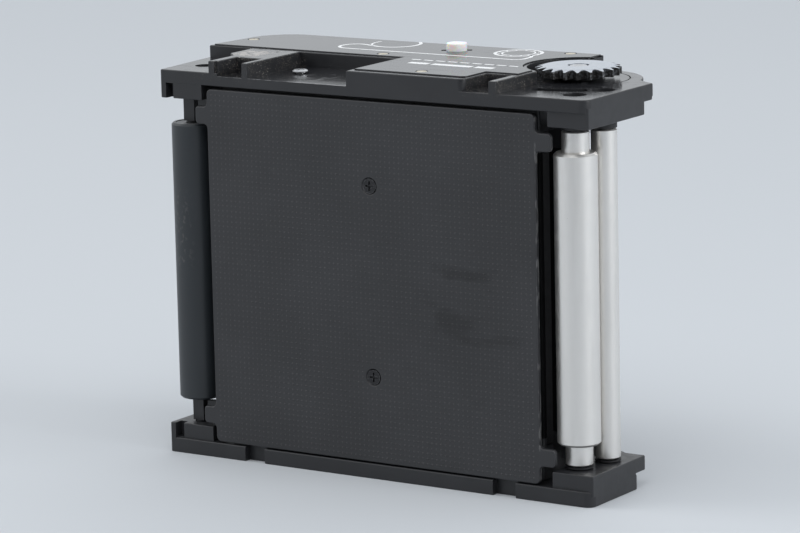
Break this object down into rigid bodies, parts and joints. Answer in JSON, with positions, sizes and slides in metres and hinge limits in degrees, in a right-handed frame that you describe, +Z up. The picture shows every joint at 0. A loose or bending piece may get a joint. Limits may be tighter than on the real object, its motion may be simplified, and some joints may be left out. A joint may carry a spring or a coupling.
{
  "type": "roll film insert",
  "caption": "Camera roll-film insert: two end plates on a film frame with a sprung pressure plate, film rollers, a take-up gear, spool keys and sprung studs.",
  "frame": {"origin": "middle of the base plate underside, on the surface it stands on", "axes": "+X along the film from the supply spool to the take-up gear, -Y out of the pressure plate (film side), +Z up to the gear end"},
  "size_m": [0.1088, 0.043, 0.0897],
  "materials": {
    "black_casting": "satin moulded black, slightly glossy on top faces",
    "black_label": "satin black printed label plate with white line art",
    "black_plate": "satin black with a fine grid of dimples",
    "black_roller": "matte blue-black with scuffs",
    "silver_roller": "satin clear-anodised, turned",
    "steel": "bright turned and stamped steel",
    "brass": "worn brass screw heads",
    "black_screw": "blackened steel",
    "white_plastic": "white moulded plastic",
    "black_bush": "black bearing plastic"
  },
  "bodies": {
    "frame": {"base_plate": "black_casting", "base_screw_1": "black_screw", "base_screw_2": "black_screw", "base_screw_3": "black_screw", "base_screw_4": "black_screw", "drive_plate": "black_casting", "drive_plate_screw_1": "steel", "drive_plate_screw_2": "steel", "drive_plate_screw_3": "steel", "film_frame": "black_casting", "guide_axle": "steel", "guide_washer_lower": "black_bush", "guide_washer_upper": "black_bush", "idler_axle": "black_screw", "label_plate": "black_label", "label_screw_1": "brass", "label_screw_2": "brass", "label_screw_3": "brass", "label_screw_4": "brass", "metering_axle": "steel", "metering_washer_lower": "black_bush", "metering_washer_upper": "black_bush", "pin_spring": "steel", "plate_spring_lower": "steel", "plate_spring_upper": "steel", "pocket_screw": "steel", "supply_bushing": "black_bush", "supply_friction_washer": "steel", "supply_leaf_pin": "steel", "supply_stud_cup": "black_bush", "supply_stud_spring": "steel", "take_up_bushing": "black_bush", "take_up_friction_washer": "steel", "take_up_leaf_pin": "steel", "take_up_stud_cup": "black_bush", "take_up_stud_spring": "steel"},
    "pressure_plate": {"pressure_plate": "black_plate", "plate_screw_lower": "black_screw", "plate_screw_upper": "black_screw", "plate_post_lower": "steel", "plate_post_upper": "steel", "post_clip_lower": "steel", "post_clip_upper": "steel"},
    "metering_roller": {"metering_roller": "silver_roller"},
    "guide_roller": {"guide_roller": "silver_roller"},
    "idler_roller": {"idler_roller": "black_roller"},
    "take_up": {"take_up_gear": "steel", "take_up_key": "steel"},
    "supply": {"supply_key": "steel"},
    "take_up_stud": {"take_up_stud": "steel"},
    "supply_stud": {"supply_stud": "steel"},
    "sensing_pin": {"sensing_pin": "white_plastic", "pin_clip": "steel"},
    "take_up_leaf": {"take_up_leaf": "black_screw"},
    "supply_leaf": {"supply_leaf": "black_screw"}
  },
  "joints": [
    {"name": "pressure_plate_press", "type": "slide", "parent": "frame", "child": "pressure_plate", "axis": [0, 1, 0], "range_m": [0, 0.001], "stiffness_N_per_m": 800, "springref_m": -0.002, "deforming": ["plate_spring_lower", "plate_spring_upper"]},
    {"name": "metering_roller_spin", "type": "hinge", "parent": "frame", "child": "metering_roller", "pos_m": [0.0473, -0.0154, 0.04], "axis": [0, 0, 1], "continuous": true},
    {"name": "guide_roller_spin", "type": "hinge", "parent": "frame", "child": "guide_roller", "pos_m": [0.0493, -0.0072, 0.04], "axis": [0, 0, 1], "continuous": true},
    {"name": "idler_roller_spin", "type": "hinge", "parent": "frame", "child": "idler_roller", "pos_m": [-0.0488, -0.0167, 0.04], "axis": [0, 0, 1], "continuous": true},
    {"name": "take_up_spin", "type": "hinge", "parent": "frame", "child": "take_up", "pos_m": [0.0361, 0.005, 0.08], "axis": [0, 0, 1], "continuous": true},
    {"name": "supply_spin", "type": "hinge", "parent": "frame", "child": "supply", "pos_m": [-0.0405, 0.008, 0.08], "axis": [0, 0, 1], "continuous": true},
    {"name": "take_up_stud_press", "type": "slide", "parent": "frame", "child": "take_up_stud", "axis": [0, 0, -1], "range_m": [0, 0.0026], "stiffness_N_per_m": 500, "springref_m": -0.003, "deforming": ["take_up_stud_spring"]},
    {"name": "supply_stud_press", "type": "slide", "parent": "frame", "child": "supply_stud", "axis": [0, 0, -1], "range_m": [0, 0.0026], "stiffness_N_per_m": 500, "springref_m": -0.003, "deforming": ["supply_stud_spring"]},
    {"name": "sensing_pin_press", "type": "slide", "parent": "frame", "child": "sensing_pin", "axis": [0, 0, -1], "range_m": [0, 0.0016], "stiffness_N_per_m": 200, "springref_m": -0.002, "deforming": ["pin_spring"]},
    {"name": "take_up_leaf_flex", "type": "hinge", "parent": "frame", "child": "take_up_leaf", "pos_m": [0.0303, -0.011, 0.043], "axis": [0, 0, -1], "range_deg": [0, 14], "stiffness_Nm_per_rad": 0.02, "springref_deg": -11.46},
    {"name": "supply_leaf_flex", "type": "hinge", "parent": "frame", "child": "supply_leaf", "pos_m": [-0.0343, -0.0085, 0.043], "axis": [0, 0, 1], "range_deg": [0, 14], "stiffness_Nm_per_rad": 0.02, "springref_deg": -11.46}
  ]
}
